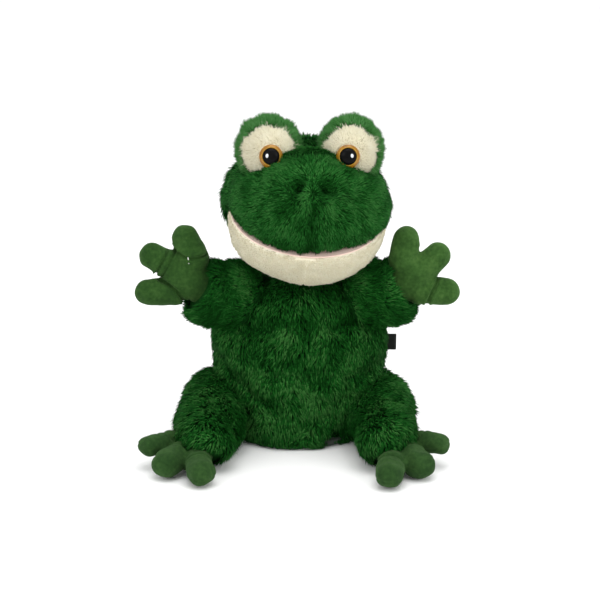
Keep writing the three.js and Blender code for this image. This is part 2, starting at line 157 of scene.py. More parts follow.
# %% A helper for finishes
def finish(name, colours, cloud=60, mottle=600, grain=2500, bump=0.4, depth=0.3, rough=(0.8, 0.95), sheen=0.4,
           sheen_tint=(1, 1, 1), stretch=(1, 1, 1), coat=0.0, specular=0.5):
    """A node material. colours are dark, middle and light; cloud, mottle and grain are noise scales per metre."""
    material = bpy.data.materials.new(name)
    material.use_nodes = True
    nodes, links = material.node_tree.nodes, material.node_tree.links
    shader = nodes["Principled BSDF"]
    place = nodes.new("ShaderNodeTexCoord")
    mapping = nodes.new("ShaderNodeMapping")
    mapping.inputs["Scale"].default_value = stretch
    links.new(place.outputs["Object"], mapping.inputs["Vector"])

    def noise(scale, detail):
        node = nodes.new("ShaderNodeTexNoise")
        node.inputs["Scale"].default_value = scale
        node.inputs["Detail"].default_value = detail
        links.new(mapping.outputs["Vector"], node.inputs["Vector"])
        return node.outputs["Fac"]

    def math_node(operation, a, b):
        node = nodes.new("ShaderNodeMath")
        node.operation = operation
        for socket, value in zip(node.inputs, (a, b)):
            if isinstance(value, float):
                socket.default_value = value
            else:
                links.new(value, socket)
        return node.outputs[0]

    broad, fine, tiny = noise(cloud, 3), noise(mottle, 4), noise(grain, 2)
    mixed = math_node("ADD", math_node("MULTIPLY", broad, 0.5), math_node("MULTIPLY", fine, 0.5))
    ramp = nodes.new("ShaderNodeValToRGB")
    links.new(mixed, ramp.inputs["Fac"])
    ramp.color_ramp.elements[0].position = 0.34
    ramp.color_ramp.elements[1].position = 0.66
    ramp.color_ramp.elements.new(0.5)
    for element, colour in zip(ramp.color_ramp.elements, colours):
        element.color = (*colour, 1)
    links.new(ramp.outputs["Color"], shader.inputs["Base Color"])
    spread = nodes.new("ShaderNodeMapRange")
    links.new(fine, spread.inputs["Value"])
    spread.inputs["To Min"].default_value = rough[0]
    spread.inputs["To Max"].default_value = rough[1]
    links.new(spread.outputs["Result"], shader.inputs["Roughness"])
    relief = nodes.new("ShaderNodeBump")
    relief.inputs["Strength"].default_value = bump
    relief.inputs["Distance"].default_value = depth * MM
    links.new(math_node("ADD", tiny, math_node("MULTIPLY", fine, 0.6)), relief.inputs["Height"])
    links.new(relief.outputs["Normal"], shader.inputs["Normal"])
    shader.inputs["Sheen Weight"].default_value = sheen
    shader.inputs["Sheen Roughness"].default_value = 0.5
    shader.inputs["Sheen Tint"].default_value = (*sheen_tint, 1)
    shader.inputs["Coat Weight"].default_value = coat
    shader.inputs["Specular IOR Level"].default_value = specular
    return material


# %% The cloths and plastics
velour = finish("green_velour", [(0.016, 0.050, 0.008), (0.028, 0.078, 0.014), (0.046, 0.108, 0.023)],
                cloud=90, mottle=420, grain=3000, bump=0.55, depth=0.35, sheen=0.16, sheen_tint=(0.55, 1.0, 0.4), specular=0.1)
velour_shaded = finish("green_velour_shaded", [(0.010, 0.036, 0.006), (0.017, 0.054, 0.009), (0.029, 0.077, 0.015)],
                       cloud=90, mottle=420, grain=3000, bump=0.55, depth=0.35, sheen=0.12,
                       sheen_tint=(0.55, 1.0, 0.4), specular=0.1)
# a darker copy of the velour for the feet, which face the lamp above: painted shade
shaded_foot_velour = finish("green_velour_foot_shaded", [(0.010, 0.034, 0.007), (0.017, 0.050, 0.011), (0.028, 0.072, 0.017)],
                     cloud=90, mottle=420, grain=3000, bump=0.55, depth=0.35, sheen=0.08,
                     sheen_tint=(0.55, 1.0, 0.4), specular=0.1)
plush_back = finish("plush_backing", [(0.002, 0.022, 0.003), (0.004, 0.036, 0.005), (0.008, 0.05, 0.009)],
                    bump=0.8, depth=0.8, sheen=0.0, specular=0.02)
hood_back = finish("hood_backing", [(0.02, 0.07, 0.015), (0.03, 0.1, 0.024), (0.045, 0.14, 0.035)], bump=0.8,
                   sheen=0.0, specular=0.02)
cream = finish("cream_plush", [(0.74, 0.68, 0.50), (0.80, 0.75, 0.58), (0.86, 0.81, 0.66)],
               cloud=70, mottle=500, bump=0.5, depth=0.4, sheen=0.3)
pink = finish("pink_lining", [(0.78, 0.55, 0.47), (0.84, 0.62, 0.54), (0.88, 0.68, 0.60)],
              cloud=40, mottle=900, bump=0.25, depth=0.1, rough=(0.5, 0.7), sheen=0.2)
satin = finish("satin_lining", [(0.010, 0.045, 0.014), (0.016, 0.06, 0.02), (0.024, 0.085, 0.03)],
               cloud=30, mottle=1200, bump=0.3, depth=0.1, rough=(0.35, 0.5), stretch=(1, 1, 0.1))
tape = finish("hem_tape", [(0.003, 0.010, 0.004), (0.006, 0.016, 0.007), (0.010, 0.026, 0.011)],
              mottle=1500, bump=0.6, depth=0.2)
ribbon = finish("black_ribbon", [(0.004, 0.005, 0.004), (0.007, 0.009, 0.007), (0.012, 0.014, 0.012)],
                cloud=20, mottle=1800, bump=0.35, depth=0.1, rough=(0.45, 0.6), sheen=0.05, stretch=(0.2, 0.2, 2.5),
                specular=0.12)
thread = finish("thread", [(0.004, 0.03, 0.005), (0.008, 0.05, 0.008), (0.012, 0.07, 0.012)], bump=0.5,
                sheen=0.0, specular=0.05)
pale_thread = finish("pale_thread", [(0.7, 0.72, 0.66), (0.8, 0.82, 0.76), (0.88, 0.9, 0.85)], bump=0.5)
amber = finish("amber_plastic", [(0.18, 0.075, 0.003), (0.26, 0.115, 0.005), (0.36, 0.17, 0.010)],
               cloud=150, mottle=500, bump=0.05, depth=0.05, rough=(0.12, 0.2), sheen=0.0, coat=0.25, specular=0.3)
gold = finish("gold_rim", [(0.34, 0.17, 0.01), (0.42, 0.22, 0.02), (0.5, 0.29, 0.04)],
              bump=0.05, depth=0.05, rough=(0.15, 0.25), sheen=0.0, coat=0.2, specular=0.3)
jet = finish("black_plastic", [(0.002, 0.002, 0.002), (0.003, 0.003, 0.003), (0.005, 0.005, 0.005)],
             bump=0.02, depth=0.02, rough=(0.12, 0.2), sheen=0.0, specular=0.06)
dot = finish("printed_dot", [(0.5, 0.52, 0.55), (0.62, 0.64, 0.66), (0.72, 0.74, 0.76)],
             bump=0.03, depth=0.03, rough=(0.2, 0.3), sheen=0.0)
washer_white = finish("washer_plastic", [(0.72, 0.72, 0.70), (0.78, 0.78, 0.76), (0.84, 0.84, 0.82)],
                      bump=0.2, rough=(0.35, 0.5), sheen=0.0)
print(len(bpy.data.materials), "finishes")

# %% [markdown]
# ## Pile colours
# A strand of pile is dark at the root, where its neighbours shade it, and pale at the tip. So a strand has two
# lengths with a plain colour each, in three shades that are dealt out at random. They stay plain on purpose: a
# strand is thinner than any pattern could show.


# %% A helper for strand colours
def strands(name, shades, rough=0.75, sheen=0.0, tint=(0.6, 1.0, 0.5)):
    """Materials for one kind of pile: for each shade, the root's and the tip's."""
    made = []
    for number, pair in enumerate(shades):
        for part, colour in zip(("root", "tip"), pair):
            material = bpy.data.materials.new(f"{name}_{part}_{number + 1}")
            material.use_nodes = True
            shader = material.node_tree.nodes["Principled BSDF"]
            shader.inputs["Base Color"].default_value = (*colour, 1)
            shader.inputs["Roughness"].default_value = rough
            shader.inputs["Sheen Weight"].default_value = sheen
            shader.inputs["Sheen Roughness"].default_value = 0.4
            shader.inputs["Sheen Tint"].default_value = (*tint, 1)
            shader.inputs["Specular IOR Level"].default_value = 0.04
            made.append(material)
    return made


# %% Four kinds of pile
# the plush's shades, darker than the snout's copy below: painted shade on the body, neck, limbs and back of head
plush_strands = strands("plush", [((0.001, 0.022, 0.002), (0.003, 0.045, 0.004)),
                                  ((0.002, 0.038, 0.004), (0.006, 0.072, 0.008)),
                                  ((0.003, 0.048, 0.005), (0.009, 0.092, 0.011)),
                                  ((0.005, 0.060, 0.007), (0.018, 0.124, 0.018)),
                                  ((0.012, 0.078, 0.011), (0.040, 0.160, 0.032))])
# a paler copy of the plush's colours for the snout: painted light
lit_head_strands = strands("head_plush_lit", [((0.001, 0.024, 0.002), (0.004, 0.052, 0.005)),
                                      ((0.005, 0.055, 0.006), (0.012, 0.100, 0.014)),
                                      ((0.007, 0.068, 0.008), (0.018, 0.130, 0.020)),
                                      ((0.010, 0.084, 0.011), (0.036, 0.165, 0.032))])
hood_strands = strands("hood", [((0.018, 0.085, 0.016), (0.036, 0.140, 0.030)),
                                ((0.025, 0.105, 0.022), (0.052, 0.175, 0.044)),
                                ((0.034, 0.130, 0.030), (0.075, 0.220, 0.064))])
cream_strands = strands("cream", [((0.72, 0.66, 0.47), (0.76, 0.71, 0.52)),
                                  ((0.75, 0.69, 0.50), (0.79, 0.74, 0.56)),
                                  ((0.77, 0.72, 0.53), (0.82, 0.78, 0.61))], tint=(1, 1, 0.95))

# %% [markdown]
# ## Tools for skins
# A stuffed shape is made from a few balls and cones that are pushed together and remeshed into one closed
# skin, which is then smoothed. That gives the soft valleys where stuffed parts meet. What has no round form is
# shaped with arrays of its points afterwards, as a sculptor would push it with a brush.


# %% Building blocks
def add_ball(bm, middle, radii, tilt=0, rings=24):
    """An ellipsoid. A positive tilt brings its front down, in degrees."""
    made = bmesh.ops.create_uvsphere(bm, u_segments=2 * rings, v_segments=rings, radius=1)["verts"]
    turn = Matrix.Rotation(math.radians(tilt), 4, "X")
    bmesh.ops.transform(bm, matrix=Matrix.Translation(middle) @ turn @ Matrix.Diagonal((*radii, 1)), verts=made)
    return made


def add_limb(bm, start, end, start_radius, end_radius, flat=1.0, flat_along=(0, 1, 0), segments=24):
    """A cone between two points with a ball at each end, all flattened along one direction."""
    start, end = Vector(start), Vector(end)
    along = (end - start).normalized()
    thin = Vector(flat_along)
    thin = (thin - along * thin.dot(along)).normalized()
    wide = along.cross(thin)
    axes = Matrix((wide, thin * flat, along)).transposed().to_4x4()
    cone = bmesh.ops.create_cone(bm, cap_ends=True, segments=segments, radius1=start_radius, radius2=end_radius,
                                 depth=(end - start).length)["verts"]
    bmesh.ops.transform(bm, matrix=Matrix.Translation((start + end) / 2) @ axes, verts=cone)
    for place, radius in ((start, start_radius), (end, end_radius)):
        made = bmesh.ops.create_uvsphere(bm, u_segments=segments, v_segments=segments // 2, radius=radius)["verts"]
        bmesh.ops.transform(bm, matrix=Matrix.Translation(place) @ axes, verts=made)


def cut(bm, point, away, fill=True):
    """Cuts off everything on the side of a plane that away points to, and closes the cut."""
    whole = bm.verts[:] + bm.edges[:] + bm.faces[:]
    made = bmesh.ops.bisect_plane(bm, geom=whole, plane_co=point, plane_no=away, clear_outer=True)
    if fill:
        rim = [e for e in made["geom_cut"] if isinstance(e, bmesh.types.BMEdge)]
        bmesh.ops.holes_fill(bm, edges=rim, sides=0)


def as_object(bm, name):
    mesh = bpy.data.meshes.new(name)
    bm.to_mesh(mesh)
    bm.free()
    made = bpy.data.objects.new(name, mesh)
    scene.collection.objects.link(made)
    return made


def apply_modifiers(piece):
    """Replaces a piece's mesh by what its modifiers make of it."""
    bpy.context.view_layer.update()
    made = bpy.data.meshes.new_from_object(piece.evaluated_get(bpy.context.evaluated_depsgraph_get()))
    piece.modifiers.clear()
    old, piece.data = piece.data, made
    bpy.data.meshes.remove(old)
    made.name = piece.name


def weld(bm, name, voxel, smooth=6):
    """Remeshes shapes that are pushed together into one closed skin, and smooths it."""
    piece = as_object(bm, name)
    remesh = piece.modifiers.new("remesh", "REMESH")
    remesh.mode = "VOXEL"
    remesh.voxel_size = voxel
    remesh.use_smooth_shade = True
    if smooth:
        soften = piece.modifiers.new("soften", "SMOOTH")
        soften.factor = 0.5
        soften.iterations = smooth
    apply_modifiers(piece)
    return piece


# %% Points of a mesh as arrays
def points_of(piece):
    flat = np.empty(len(piece.data.vertices) * 3, np.float32)
    piece.data.vertices.foreach_get("co", flat)
    return flat.reshape(-1, 3).astype(float)


def normals_of(piece):
    flat = np.empty(len(piece.data.vertices) * 3, np.float32)
    piece.data.vertex_normals.foreach_get("vector", flat)
    return flat.reshape(-1, 3).astype(float)


def set_points(piece, points):
    piece.data.vertices.foreach_set("co", np.asarray(points, np.float32).ravel())
    piece.data.update()


def unit(vectors):
    return vectors / np.maximum(np.linalg.norm(vectors, axis=1, keepdims=True), 1e-9)


def ripple(points, size, seed, waves=9):
    """A smooth number for each point, mostly between -1 and 1, that changes over a distance of about size."""
    draw = np.random.default_rng(seed)
    total = np.zeros(len(points))
    for _ in range(waves):
        direction = draw.normal(size=3)
        direction *= 2 * math.pi / (size * draw.uniform(0.9, 2.2)) / np.linalg.norm(direction)
        total += np.sin(points @ direction + draw.uniform(0, 2 * math.pi))
    return total / math.sqrt(waves)


def near_line(points, line):
    """How far each point is from a line of points. Uses as many coordinates as the line has."""
    best = np.full(len(points), 1e9)
    for a, b in zip(line[:-1], line[1:]):
        a, b = np.array(a, float), np.array(b, float)
        share = np.clip((points - a) @ (b - a) / ((b - a) @ (b - a)), 0, 1)
        best = np.minimum(best, np.linalg.norm(points - (a + share[:, None] * (b - a)), axis=1))
    return best


def crease(points, normals, line, where, depth, width, plane=(0, 2), swell=0.35):
    """Presses a fold into a skin along a line, and swells the cloth a little on both sides of it."""
    gap = near_line(points[:, plane], line) / width
    push = np.exp(-gap ** 2) - swell * np.exp(-((gap - 1.9) / 0.8) ** 2)
    return points - normals * (depth * push * where)[:, None]


def finished(piece, material, smooth=True):
    """Moves a piece from the bench into the frame and gives it its material."""
    piece.data.transform(BENCH)
    piece.data.materials.clear()
    piece.data.materials.append(material)
    piece.data.polygons.foreach_set("use_smooth", [smooth] * len(piece.data.polygons))
    piece.data.update()
    print(piece.name, len(piece.data.polygons), "faces")
    return piece


# %% [markdown]
# ## Growing pile
# Long pile could be hair particles, but they wouldn't be part of the mesh that leaves this file. So a strand is
# modelled once, a three-sided spike in two lengths, and copied over the skin with its root in the cloth, bent
# over the way the cloth is brushed, and drawn together into locks as real pile is. Arrays place the copies,
# because each one bends by itself.

# %% One strand
bm = bmesh.new()
bmesh.ops.create_cone(bm, cap_ends=True, segments=3, radius1=1, radius2=0.02, depth=1)
bmesh.ops.translate(bm, vec=(0, 0, 0.5), verts=bm.verts)
bmesh.ops.bisect_plane(bm, geom=bm.verts[:] + bm.edges[:] + bm.faces[:], plane_co=(0, 0, 0.5), plane_no=(0, 0, 1))
tip = [v for v in bm.verts if v.co.z > 0.9]
bmesh.ops.pointmerge(bm, verts=tip, merge_co=(0, 0, 1))
for vert in bm.verts:
    if 0.4 < vert.co.z < 0.6:
        vert.co.xy *= 1.55
bmesh.ops.triangulate(bm, faces=bm.faces)
bmesh.ops.recalc_face_normals(bm, faces=bm.faces)
bm.verts.index_update()
STRAND = np.array([v.co[:] for v in bm.verts])
STRAND_FACES = np.array([[v.index for v in f.verts] for f in bm.faces])
STRAND_TIP = np.array([f.calc_center_median().z > 0.5 for f in bm.faces])
bm.free()
print("a strand has", len(STRAND), "points and", len(STRAND_FACES), "faces")


# %% Growing it
def grow(name, skin, count, length, width, comb, materials, seed, rise=30, lay=80, mess=0.35, lock=3.2, pull=0.5,
         keep=None, trim=None, light=None):
    """Pile over a skin that is still on the bench. comb gives each root's direction. rise and lay are a
    strand's lean at root and tip in degrees, lock is a lock's size and pull how far its tips come together.
    keep, trim and light say where it grows, how long it is, and how much lighter or darker than elsewhere: light is
    painted light and shade."""
    draw = np.random.default_rng(seed)
    points, normals = points_of(skin), normals_of(skin)
    skin.data.calc_loop_triangles()
    corners = np.empty(len(skin.data.loop_triangles) * 3, np.int32)
    skin.data.loop_triangles.foreach_get("vertices", corners)
    corners = corners.reshape(-1, 3)
    a, b, c = (points[corners[:, i]] for i in range(3))
    area = np.linalg.norm(np.cross(b - a, c - a), axis=1)
    if keep is not None:
        area = area * np.clip(keep((a + b + c) / 3, unit(np.cross(b - a, c - a))), 0, 1)
    total = np.cumsum(area)
    chosen = np.searchsorted(total, (np.arange(count) + draw.random(count)) / count * total[-1])
    u, v = np.sqrt(draw.random(count)), draw.random(count)
    shares = np.stack([1 - u, u * (1 - v), u * v], 1)[:, :, None]
    root = (points[corners[chosen]] * shares).sum(1)
    normal = unit((normals[corners[chosen]] * shares).sum(1))
    way = comb(root, normal)
    way = unit(way - normal * (way * normal).sum(1, keepdims=True))
    wander = np.stack([ripple(root, lock * 2.6, seed + i) for i in range(3)], 1)
    wander += 0.6 * np.stack([ripple(root, lock * 9, seed + 3 + i) for i in range(3)], 1)
    way = way + mess * (wander + 0.35 * draw.normal(size=(count, 3)))
    way = unit(way - normal * (way * normal).sum(1, keepdims=True))
    long = length * (0.82 + 0.3 * draw.random(count)) * (1 + 0.12 * ripple(root, lock * 4, seed + 7))
    if trim is not None:
        long = long * trim(root, normal)
    lift = 0.5 * ripple(root, lock * 3, seed + 8)
    first = np.radians(rise + 10 * lift + 8 * draw.normal(size=count))
    last = np.radians(lay + 14 * lift + 10 * draw.normal(size=count))
    start = normal * np.cos(first)[:, None] + way * np.sin(first)[:, None]
    stop = normal * np.cos(last)[:, None] + way * np.sin(last)[:, None]
    locks = max(1, int(total[-1] / 2 / lock ** 2))
    centres = draw.choice(count, min(count, locks), replace=False)
    tree = KDTree(len(centres))
    for number, place in enumerate(root[centres]):
        tree.insert(place, number)
    tree.balance()
    nearest = centres[np.array([tree.find(p)[1] for p in root])]
    drawn = (root[nearest] - root) * pull
    across = unit(np.cross(normal, way))
    s = STRAND[:, 2]
    bend = np.einsum("n,nk,p->npk", long, start, s) + np.einsum("n,nk,p->npk", long / 2, stop - start, s ** 2)
    bend += np.einsum("nk,p->npk", drawn, s ** 1.5)
    wide = width * (0.75 + 0.5 * draw.random(count))
    side = np.einsum("n,nk,p->npk", wide, across, STRAND[:, 0])
    thick = np.einsum("n,nk,p->npk", wide * 0.7, unit(np.cross(across, start)), STRAND[:, 1])
    made = root[:, None] - normal[:, None] * 0.4 + bend + side + thick
    made[..., 2] = np.maximum(made[..., 2], 0.3)
    shades = len(materials) // 2
    tone = draw.random(count) + 0.22 * ripple(root, lock * 5, seed + 9)
    if light is not None:
        tone += light(root, normal)
    shade = np.clip(tone * shades, 0, shades - 1)
    slots = 2 * shade.astype(int)[:, None] + STRAND_TIP[None]
    return strands_mesh(name, made, slots, materials)


def strands_mesh(name, made, slots, materials):
    """All the strands of a piece as one mesh in the frame."""
    count, size = made.shape[:2]
    faces = (STRAND_FACES[None] + (np.arange(count) * size)[:, None, None]).reshape(-1, 3)
    mesh = bpy.data.meshes.new(name)
    mesh.vertices.add(count * size)
    mesh.vertices.foreach_set("co", made.astype(np.float32).ravel())
    mesh.loops.add(faces.size)
    mesh.loops.foreach_set("vertex_index", faces.astype(np.int32).ravel())
    mesh.polygons.add(len(faces))
    mesh.polygons.foreach_set("loop_start", np.arange(0, faces.size, 3, dtype=np.int32))
    mesh.polygons.foreach_set("material_index", slots.astype(np.int32).ravel())
    mesh.polygons.foreach_set("use_smooth", np.ones(len(faces), bool))
    for material in materials:
        mesh.materials.append(material)
    mesh.update(calc_edges=True)
    mesh.transform(BENCH)
    piece = bpy.data.objects.new(name, mesh)
    scene.collection.objects.link(piece)
    print(name, count, "strands", len(faces), "faces")
    return piece


def toward(*direction):
    """A comb that brushes everything in one direction."""
    return lambda points, normals: np.tile(np.array(direction, float), (len(points), 1))


# %% [markdown]
# ## Body
# The body is a tube of plush that stands on its hem and narrows to the neck. It is lofted from ovals: one
# circle is made and its edge extruded from height to height, then subdivided. Its weight makes it fold at the
# waist and over the legs, and those folds are pressed in along lines. Solidify gives the cloth its thickness.

# %% The body's ovals: height, half width, half depth, middle in X, middle in Y
BODY = [(3.2, 44.5, 38.5, 2, -3), (10, 52, 41, 2, -2), (30, 58.5, 43, 2, -2), (55, 61.5, 43, 2, -1),
        (75, 63.5, 40.5, 2, 0), (92, 60, 36, 2.5, 0), (106, 50.5, 31, 3.5, 1), (116, 42, 25.5, 5, 3),
        (123, 31, 20, 8, 6), (127, 22, 18, 9.7, 9)]
SLEEVE = [(3.0, 38.5, 33, 2, -3), (9, 38, 31.5, 2, -2), (22, 36.5, 31, 2, -1), (70, 35.5, 28, 3, 1),
          (100, 29, 23, 5.5, 5), (116, 21, 18.5, 9.7, 9)]
PLUSH_CLOTH = 2.2
WAIST_FOLDS = [
    ([(-58, 66), (-44, 52), (-30, 40), (-14, 30)], 3.6, 6.0),
    ([(-60, 44), (-48, 34), (-36, 26)], 3.0, 5.5),
    ([(66, 62), (52, 56), (40, 53)], 3.2, 6.0),
    ([(62, 40), (48, 27), (34, 12), (26, 5)], 4.0, 6.0),
    ([(-46, 88), (-34, 92), (-20, 90)], 3.0, 6.0),
    ([(30, 92), (44, 96), (56, 92)], 3.0, 6.0),
    ([(-20, 60), (4, 56), (26, 62)], 2.0, 9.0),
]
BACK_FOLDS = [
    ([(-50, 60), (-20, 52), (10, 56)], 3.5, 6.0),
    ([(60, 48), (36, 40), (16, 42)], 3.5, 5.0),
    ([(-40, 26), (0, 22), (40, 28)], 2.5, 7.0),
]


def loft(ovals, name, around=28, levels=2):
    """A tube through a stack of ovals, open at both ends."""
    bm = bmesh.new()
    bmesh.ops.create_circle(bm, cap_ends=False, segments=around, radius=1)
    ring = bm.edges[:]
    verts = bm.verts[:]
    for number, (z, width, depth, x, y) in enumerate(ovals):
        if number:
            made = bmesh.ops.extrude_edge_only(bm, edges=ring)["geom"]
            ring = [e for e in made if isinstance(e, bmesh.types.BMEdge) and e.is_boundary]
            verts = [v for v in made if isinstance(v, bmesh.types.BMVert)]
        unit_ring = [v.co.copy() for v in verts]
        if number:
            _, last_width, last_depth, last_x, last_y = ovals[number - 1]
            unit_ring = [Vector(((c.x - last_x) / last_width, (c.y - last_y) / last_depth, 0)) for c in unit_ring]
        for vert, place in zip(verts, unit_ring):
            vert.co = (x + place.x * width, y + place.y * depth, z)
    bmesh.ops.recalc_face_normals(bm, faces=bm.faces)
    piece = as_object(bm, name)
    piece.modifiers.new("fine", "SUBSURF").levels = levels
    apply_modifiers(piece)
    return piece


body = loft(BODY, "body_skin", levels=3)
points, normals = points_of(body), normals_of(body)
outward = normals * np.sign((normals * (points - [2, -1, 60]))[:, :2].sum(1))[:, None]
front = np.clip((-points[:, 1] - 2) / 12, 0, 1)
for line, depth, width in WAIST_FOLDS:
    points = crease(points, outward, line, front, depth, width)
for line, depth, width in BACK_FOLDS:
    points = crease(points, outward, line, 1 - np.clip((-points[:, 1] + 14) / 12, 0, 1), depth, width)
middle_height = np.clip(points[:, 2] / 14, 0, 1) * np.clip((126 - points[:, 2]) / 14, 0, 1)
points += outward * (1.3 * ripple(points, 46, 5) * middle_height)[:, None]
set_points(body, points)
print("body skin", len(points), "points")

# %% The body's pile
BODY_COMB = toward(0, 0, -1)


def above_hem(points, normals):
    return (points[:, 2] > 3.5) * (points[:, 2] < 128)


def body_front(points, normals):
    return above_hem(points, normals) * (points[:, 1] < 3 + 2 * np.sin(points[:, 2] / 7))


def body_back(points, normals):
    return above_hem(points, normals) * (points[:, 1] >= 3 + 2 * np.sin(points[:, 2] / 7))


def body_painted_light(points, normals):
    """Painted light and shade: the pile is paler on the belly, and darker under the chin and in the folds."""
    low = np.exp(-((points[:, 2] - 38) / 24) ** 2)
    high = np.clip((points[:, 2] - 88) / 20, 0, 1)
    fold_shade = sum(np.exp(-(near_line(points[:, (0, 2)], line) / (width * 1.2)) ** 2) for line, _, width in WAIST_FOLDS)
    return 0.3 * low - 0.2 * high - 0.2 * np.clip(fold_shade, 0, 1) * (points[:, 1] < -5)


body_pile_front = grow("body_pile_front", body, 18000, 8.5, 0.66, BODY_COMB, plush_strands, 11,
                       rise=35, lay=86, keep=body_front, light=body_painted_light, lock=2.8, pull=0.4)
body_pile_back = grow("body_pile_back", body, 11500, 9.0, 0.68, BODY_COMB, plush_strands, 12,
                      rise=35, lay=88, keep=body_back)
thickness = body.modifiers.new("cloth", "SOLIDIFY")
thickness.thickness = PLUSH_CLOTH
thickness.offset = -1
apply_modifiers(body)
finished(body, plush_back)
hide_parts("torso_front_panel", "torso_back_panel")
for piece in (body, body_pile_front, body_pile_back):
    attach(piece, "torso")

# %% [markdown]
# ## Hem and lining
# The hand goes in through the bottom. A dark tape is folded over the raw edge there, and the lining of the
# sleeve starts at it. Both are thin cloth: the lining is a loft of its own, and the tape is a low rounded ring.

# %% The lining and the tape
lining = loft(SLEEVE, "sleeve_lining_cloth", around=24, levels=2)
points, normals = points_of(lining), normals_of(lining)
points += normals * (0.9 * ripple(points, 24, 8) * np.clip(points[:, 2] / 20, 0, 1))[:, None]
set_points(lining, points)
LINING_CLOTH = 0.9
thickness = lining.modifiers.new("cloth", "SOLIDIFY")
thickness.thickness = LINING_CLOTH
thickness.offset = -1
apply_modifiers(lining)
finished(lining, satin)
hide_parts("sleeve_lining")
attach(lining, "torso")

hem = loft([(0.25, 43.6, 37.6, 2, -3), (2.4, 44.8, 38.8, 2, -3), (5.6, 46, 39.6, 2, -3)], "hem_tape", levels=2)
thickness = hem.modifiers.new("cloth", "SOLIDIFY")
thickness.thickness = 3.0
thickness.offset = -1
soft_edge = hem.modifiers.new("soft_edge", "BEVEL")
soft_edge.width = 0.7
soft_edge.segments = 2
apply_modifiers(hem)
finished(hem, tape)
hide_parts("hem_binding")
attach(hem, "torso")

# %% [markdown]
# ## Head
# The head is a skull and a wide muzzle pushed together, cut flat below the muzzle for the palate. Both are
# made from balls: the front one is cut by the palate's plane, the back one is not, and the remesh joins them.
# Two stitches pull the nostrils in, and a seam runs from the nose to the lip.

# %% The head's form
SKULL = ((-2, -22, 180.7), (59, 48, 43.8), 0)
MUZZLE = ((0, -40, 185), (56, 52, 33), 15)
BROW = ((0, -52, 200.5), (37, 22, 21), 0)
HINGE = (0, -33, 181)
ROOF = (0, -33, 178.4)  # the pile side of the palate hangs a little lower than the hinge
MOUTH_SLOPE = math.radians(24)
JAW_SLOPE = math.radians(26.5)
DOWN_FROM_PALATE = Vector((0, math.sin(MOUTH_SLOPE), -math.cos(MOUTH_SLOPE)))


def head_balls(bm):
    """Skull and muzzle in the snout's place. The skull's own place hardly differs under the pile."""
    for middle, radii, tilt in (SKULL, MUZZLE, BROW):
        add_ball(bm, middle, radii, tilt, rings=32)


bm = bmesh.new()
head_balls(bm)
cut(bm, ROOF, DOWN_FROM_PALATE)
behind = bmesh.new()
head_balls(behind)
cut(behind, (0, HINGE[1] - 1, 0), (0, -1, 0))
cut(behind, (0, HINGE[1] - 1, HINGE[2]), (0, -1, -0.24))  # room for the jaw to swing back
back_mesh = bpy.data.meshes.new("back")
behind.to_mesh(back_mesh)
behind.free()
bm.from_mesh(back_mesh)
bpy.data.meshes.remove(back_mesh)
head = weld(bm, "head_skin", 2.0, smooth=5)

# %% Nostrils, the seam of the nose and soft unevenness, still in the snout's own frame
NOSTRILS = np.array([0, -78.5, 200.5])
NOSTRIL_APART = 9.3
points, normals = points_of(head), normals_of(head)
for side in (-1, 1):
    gap = np.linalg.norm(points - NOSTRILS + [side * NOSTRIL_APART, 0, 0], axis=1)
    points -= normals * (9.5 * np.exp(-(gap / 4.4) ** 2))[:, None]
    points += normals * (1.2 * np.exp(-((gap - 11) / 4.5) ** 2))[:, None]
low = np.clip((199 - points[:, 2]) / 8, 0, 1) * (points[:, 1] < -60)
points = crease(points, normals, [(1.5, 196), (0.5, 150)], low, 3.4, 3.2)
points += normals * (0.9 * ripple(points, 40, 21))[:, None]
set_points(head, points)
print("head skin", len(points), "points")


# %% The head's pile
def above_lip(points):
    """How far points are above the plane of the palate."""
    return (points[:, 2] - ROOF[2]) * math.cos(MOUTH_SLOPE) - (points[:, 1] - HINGE[1]) * math.sin(MOUTH_SLOPE)


def away_from_nose(points, normals):
    """Brushed back over the crown, out over the cheeks and down to the lip, from a whorl at the nose."""
    way = points - np.array([0, -84, 191])
    way[:, 2] -= 6 + 0.25 * np.abs(points[:, 0]) + 70 * np.clip(1 - above_lip(points) / 11, 0, 1)
    crown = np.clip((points[:, 2] - 202) / 12, 0, 1)[:, None] * np.clip((points[:, 1] + 80) / 16, 0, 1)[:, None]
    return unit(way) * (1 - 0.55 * crown) + crown * np.array([0, -0.75, 0.15])


def on_snout(points, normals):
    return (points[:, 1] < -28 - 8 * (points[:, 2] < 176)) * ((above_lip(points) > 0.9) | (normals[:, 2] > -0.55)) * (normals[:, 2] > -0.9)


def on_head_back(points, normals):
    return (points[:, 1] >= -30) * (normals[:, 1] > -0.8)


def short_at_nostrils(points, normals):
    share = np.ones(len(points))
    for side in (-1, 1):
        gap = np.linalg.norm(points - NOSTRILS + [side * NOSTRIL_APART, 0, 0], axis=1)
        share *= 1 - 0.85 * np.exp(-(gap / 4.4) ** 2)
    return share * (1.25 - 0.25 * np.clip(above_lip(points) / 8, 0, 1))


def snout_painted_light(points, normals):
    """Painted shade in the nostrils, down the seam from them to the lip and near the lip; painted light on the crown.
    """
    tone = 0.16 * np.clip((points[:, 2] - 205) / 14, 0, 1) - 0.14 * np.clip((186 - points[:, 2]) / 20, 0, 1)
    for side in (-1, 1):
        gap = np.linalg.norm(points - NOSTRILS + [side * NOSTRIL_APART, 0, 0], axis=1)
        tone -= 1.4 * np.exp(-(gap / 5.6) ** 2)
    seam = np.exp(-((points[:, 0] - 1) / 2.6) ** 2) * (points[:, 2] < 194)
    return tone - 0.55 * seam


def on_snout_left(points, normals):
    return on_snout(points, normals) * (points[:, 0] >= 0)


def on_snout_right(points, normals):
    return on_snout(points, normals) * (points[:, 0] < 0)
